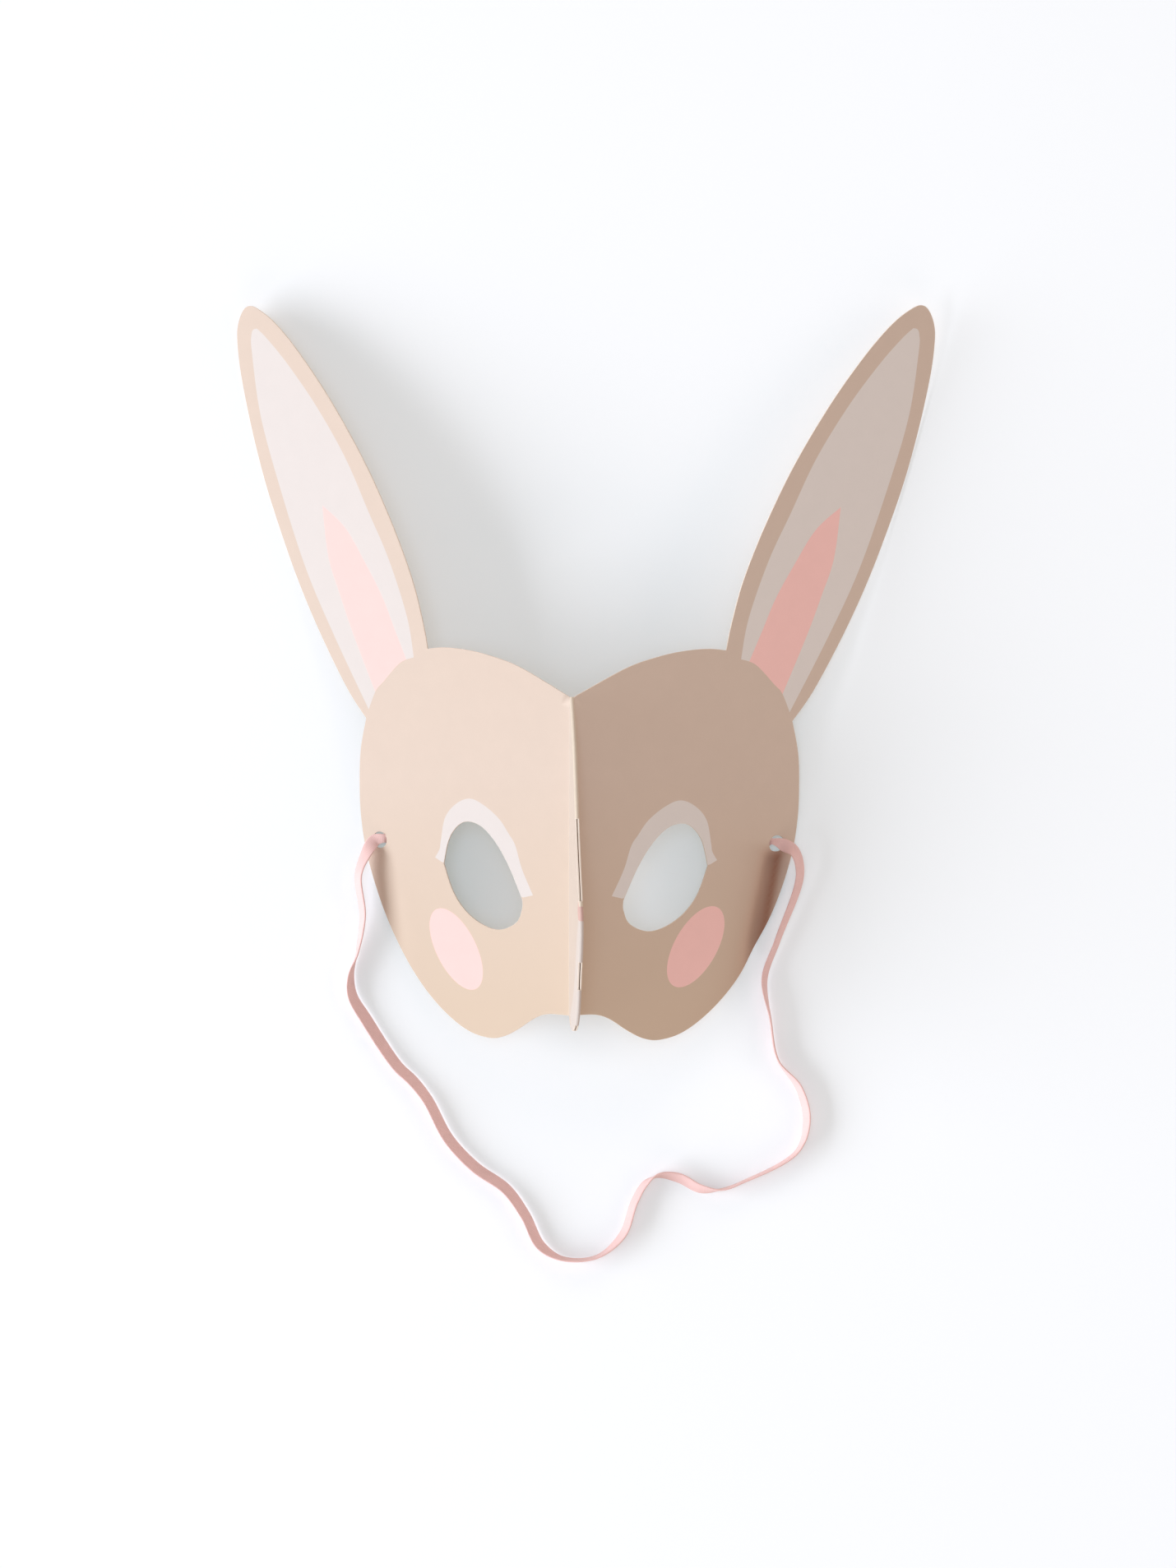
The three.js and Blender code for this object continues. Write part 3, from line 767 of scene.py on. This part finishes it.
def half_points(outlines):
    """The points that one half is made of, on its lines and between them, and the edges along its lines."""
    # The fold's lines stop short of the outline, so that the nose's edge keeps its own points.
    along = np.arange(FOLD_LINES_FROM, FOLD_LINES_TO, FOLD_LINE_STEP)
    fold_lines = [np.column_stack([np.full(len(along), FOLD_REACH * line), along]) for line in FOLD_LINES]
    nose_prints = smooth_lines(PRINT_STEPS, NOSE_PINK[1:-1], MUZZLE_WHITE[1:-2])
    points = []
    edges = []
    for lines, are_closed in ((outlines.values(), True), (fold_lines + nose_prints, False)):
        for line in lines:
            first = len(points)
            points.extend(line)
            edges.extend((first + step, first + step + 1) for step in range(len(line) - 1))
            if are_closed:
                edges.append((first + len(line) - 1, first))
    on_lines = np.array(points)

    rim = outlines["rim"]
    fine = hex_grid(DENT_END - DENT_GRID_MARGIN, DENT_START + DENT_GRID_MARGIN, DENT_GRID_STEP)
    inward = beside_line(fine, DENT_START, DENT_END)[1]
    fine = fine[np.abs(inward) < DENT_GRID_REACH]
    fine = clear_of(fine[inside(fine, rim)], on_lines, DENT_GRID_CLEARANCE)
    coarse = hex_grid(rim.min(axis=0), rim.max(axis=0), GRID_STEP)
    coarse = clear_of(coarse[inside(coarse, rim)], np.vstack([on_lines, fine]), GRID_CLEARANCE)
    return np.vstack([on_lines, fine, coarse]), edges


def half_inks(middles, outlines):
    """The ink at each flat place of the right half (1) and of the left half (-1)."""
    ink = np.full(len(middles), BEIGE)
    white = inside(middles, outlines["ear_white"])
    # Whites first take the copy painted darker, as painted shade on the lit left half.
    ink[white | inside(middles, outlines["lid"])] = LEFT_WHITE_PAINTED_DARKER
    ink[white & inside(middles, outlines["ear_pink"])] = PINK
    # The standing nose takes copies of the inks painted darker, as painted shade.
    ink[middles[:, 0] < 0] = NOSE_BEIGE_PAINTED_SHADE
    ink[inside(middles, np.array(MUZZLE_WHITE, float))] = NOSE_WHITE_PAINTED_SHADE
    ink[inside(middles, np.array(NOSE_PINK, float))] = NOSE_ROSE_PAINTED_SHADE
    # The right half's whites take the copy painted lighter, as painted light on its shaded half.
    right_ink = np.where(ink == LEFT_WHITE_PAINTED_DARKER, RIGHT_WHITE_PAINTED_LIGHTER, ink)
    return {
        1: np.where(inside(middles, outlines["right_cheek"]), PINK, right_ink),
        -1: np.where(inside(middles, outlines["left_cheek"]), PINK, ink),
    }


def flat_half():
    """One half laid flat: points, triangles, their inks on each side, and the nose's edge and its points."""
    nose, outlines = half_outlines()
    points, edges = half_points(outlines)
    made = delaunay_2d_cdt([Vector(point) for point in points], edges, [], 0, MERGE_DISTANCE)
    flat = np.array([tuple(point) for point in made[0]])
    triangles = np.array([face for face in made[2] if len(face) == 3])
    middles = flat[triangles].mean(axis=1)
    rim = outlines["rim"]
    kept = inside(middles, rim) & ~inside(middles, outlines["eye"]) & ~inside(middles, outlines["hole"])

    # The nose's edge is the last part of the rim and ends at the rim's first point.
    made_from = {source: place for place, sources in enumerate(made[3]) for source in sources}
    first = len(rim) - len(nose) + 1
    nose_places = np.array([made_from[place % len(rim)] for place in range(first, len(rim) + 1)])
    return flat, triangles[kept], half_inks(middles[kept], outlines), nose, nose_places


def fold_section(across):
    """Where the sheet's middle runs at each flat distance from the fold, and its facing, in X and Z."""
    turn = math.pi / 2 - PANEL_TILT
    radius = FOLD_REACH / math.tan(turn / 2)
    angle = np.clip((across + FOLD_REACH) / (2 * FOLD_REACH), 0, 1) * turn
    facing = np.column_stack([np.cos(angle), np.sin(angle)])
    centre = np.array((FOLD_OFFSET + radius, FOLD_REACH))
    bent = centre - radius * facing
    up_nose = np.column_stack([np.full(len(across), FOLD_OFFSET), -across])
    down_half = np.column_stack([FOLD_OFFSET + across * math.cos(PANEL_TILT),
                                 -across * math.sin(PANEL_TILT)])
    at = np.where((across < -FOLD_REACH)[:, None], up_nose,
                  np.where((across > FOLD_REACH)[:, None], down_half, bent))
    return at, facing


def nose_fold(nose, nose_places, count):
    """The round fold along the nose's edge, which joins its two layers apart from the cut stretches.

    It gives the points that it adds to the two halves' own, the way they face, its triangles and their inks.
    """
    edge = np.column_stack([nose[:, 1], -nose[:, 0]])
    run = np.gradient(edge, axis=0)
    outward = unit(np.column_stack([run[:, 1], -run[:, 0]]))
    folded = [NOSE_PROFILE[step // NOSE_STEPS][2] for step in range(len(nose) - 1)]
    points = []
    normals = []
    rows = {}
    for step, (place, out) in enumerate(zip(edge, outward)):
        if not any(folded[max(step - 1, 0):step + 1]):
            continue
        row = [nose_places[step]]
        for turn in np.linspace(0, math.pi, ROUND_STEPS + 1)[1:-1]:
            reach = FOLD_OFFSET * math.sin(turn)
            row.append(2 * count + len(points))
            points.append((FOLD_OFFSET * math.cos(turn), *(place + out * reach)))
            normals.append((math.cos(turn), *(out * math.sin(turn))))
        rows[step] = row + [nose_places[step] + count]

    faces = []
    inks = []
    for step, is_folded in enumerate(folded):
        if not is_folded:
            continue
        below = nose[step, 1]
        ink_here = WORN
        # Where it is printed, the fold takes the nose's inks painted darker, as painted shade.
        if below < NOSE_PINK_FROM:
            ink_here = NOSE_ROSE_PAINTED_SHADE if below > NOSE_PINK_TO else NOSE_WHITE_PAINTED_SHADE
        for column in range(ROUND_STEPS):
            first, second = rows[step][column:column + 2]
            fourth, third = rows[step + 1][column:column + 2]
            faces.append((first, second, third))
            faces.append((first, third, fourth))
            inks.extend([ink_here, ink_here])
    return points, normals, faces, inks


def folded_sheet():
    """The whole sheet's middle, folded: points, the way each faces, triangles, inks and crease shade."""
    flat, triangles, inks_by_side, nose, nose_places = flat_half()
    middle, facing = fold_section(flat[:, 0])
    count = len(flat)
    on_face = flat[:, 0] > 0
    parts = []
    for side in (1, -1):
        pressed = np.where(on_face, dent_depth(flat, side), 0)
        at = middle - facing * pressed[:, None]
        parts.append((
            np.column_stack([side * at[:, 0], flat[:, 1], at[:, 1]]),
            np.column_stack([side * facing[:, 0], np.zeros(count), facing[:, 1]]),
            triangles + (0 if side > 0 else count),
            inks_by_side[side],
        ))
    parts.append(nose_fold(nose, nose_places, count))
    points, normals, faces, inks = [np.concatenate(kind) for kind in zip(*parts)]

    # Only the right half, which comes first, has the painted shade in its crease.
    crease_shades = np.zeros(len(points))
    crease_shades[:count] = np.where(on_face, crease_shade(flat), 0)
    return points, unit(normals), faces, inks, crease_shades


def outward_facing(points, normals, faces):
    """The triangles, each turned so that it goes round the way its corners face."""
    corners = points[faces]
    around = np.cross(corners[:, 1] - corners[:, 0], corners[:, 2] - corners[:, 0])
    wrong = np.einsum("ij,ij->i", around, normals[faces].sum(axis=1)) < 0
    faces = faces.copy()
    faces[wrong] = faces[wrong][:, ::-1]
    return faces


def make_card():
    """The folded sheet with its thickness, pale cut edges and slightly worn corners."""
    points, normals, faces, inks, crease_shades = folded_sheet()
    faces = outward_facing(points, normals, faces)
    pairs = {(a, b) for face in faces.tolist() for a, b in zip(face, face[1:] + face[:1])}
    border = [(a, b) for a, b in pairs if (b, a) not in pairs]

    # At a cut edge the front and the back stop short of the edge by the wear, and the edge's own rows lie
    # between.
    beyond = {}
    for a, b in border:
        ahead = points[b] - points[a]
        for place in (a, b):
            away = unit(np.cross(ahead, normals[place]))
            beyond.setdefault(place, []).append(away)
    inset = np.zeros_like(points)
    for place, ways in beyond.items():
        total = np.sum(ways, axis=0)
        inset[place] = unit(total) * EDGE_WEAR

    half = CARD_THICKNESS / 2
    count = len(points)
    edge_places = {place: order for order, place in enumerate(beyond)}
    edge_points = points[list(edge_places)]
    edge_normals = normals[list(edge_places)]
    solid = np.vstack([
        points + normals * half - inset,
        points - normals * half - inset,
        edge_points + edge_normals * (half - EDGE_WEAR),
        edge_points - edge_normals * (half - EDGE_WEAR),
    ])
    upper = 2 * count
    lower = upper + len(edge_places)
    all_faces = [tuple(face) for face in faces.tolist()]
    materials = list(inks)
    for (a, b, c), ink in zip(faces.tolist(), inks):
        all_faces.append((c + count, b + count, a + count))
        # Behind the muzzle's print, the inside of the nose is painted dark brown, as painted shade in its
        # slit.
        materials.append(MUZZLE_INSIDE_PAINTED_SHADE if ink == NOSE_WHITE_PAINTED_SHADE else BACK)
    for a, b in border:
        order_a = edge_places[a]
        order_b = edge_places[b]
        rows = [
            (a, b),
            (upper + order_a, upper + order_b),
            (lower + order_a, lower + order_b),
            (a + count, b + count),
        ]
        for (first, second), (third, fourth) in zip(rows, rows[1:]):
            all_faces.append((second, first, third, fourth))
            materials.append(CORE)

    solid[:, 0] += math.tan(NOSE_LEAN) * np.maximum(solid[:, 2], 0)
    # Painted crease shade, on the front points only.
    shade = np.pad(crease_shades, (0, len(solid) - count))
    return add_object("folded_card", at_rest(solid), all_faces, card_materials, materials,
                      point_values={"crease": shade})


card = make_card()
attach(card, "root")
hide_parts("mask_card")


# Floor and light

def make_floor():
    """A plain white floor just under the card."""
    half = FLOOR_SIZE / 2
    corners = [(-half, -half, -FLOOR_DROP), (half, -half, -FLOOR_DROP),
               (half, half, -FLOOR_DROP), (-half, half, -FLOOR_DROP)]
    shader = Shader("white_floor")
    shader.set(
        Base_Color=FLOOR_COLOUR,
        Roughness=FLOOR_ROUGHNESS,
        Specular_IOR_Level=FLOOR_SPECULAR,
        Emission_Color=FLOOR_GLOW_COLOUR,
        Emission_Strength=FLOOR_GLOW,
    )
    floor = add_object("floor", corners, [(0, 1, 2, 3)], [shader.material])


def add_light(name, turn, rise, distance, size, power, colour):
    """A soft rectangular light that faces the middle of the mask and isn't seen itself."""
    data = bpy.data.lights.new(name, "AREA")
    data.shape = "RECTANGLE"
    data.size, data.size_y = size
    data.energy = power
    data.color = colour
    light = bpy.data.objects.new(name, data)
    turn = math.radians(turn)
    rise = math.radians(rise)
    way = Vector((-math.cos(rise) * math.cos(turn), -math.cos(rise) * math.sin(turn), math.sin(rise)))
    light.location = CAMERA_AIM + way * distance
    light.rotation_euler = (-way).to_track_quat("-Z", "Y").to_euler()
    light.visible_camera = False
    bpy.context.scene.collection.objects.link(light)


def make_studio():
    """A large soft light low on the left, weaker ones above and on the other sides, and light all round."""
    for name, settings in STUDIO_LIGHTS.items():
        add_light(name, **settings)
    world = bpy.data.worlds.new("studio")
    world.use_nodes = True
    background = world.node_tree.nodes["Background"]
    background.inputs["Color"].default_value = AMBIENT_COLOUR
    background.inputs["Strength"].default_value = AMBIENT
    bpy.context.scene.world = world
    bpy.context.scene.view_settings.view_transform = "Standard"


make_floor()
make_studio()
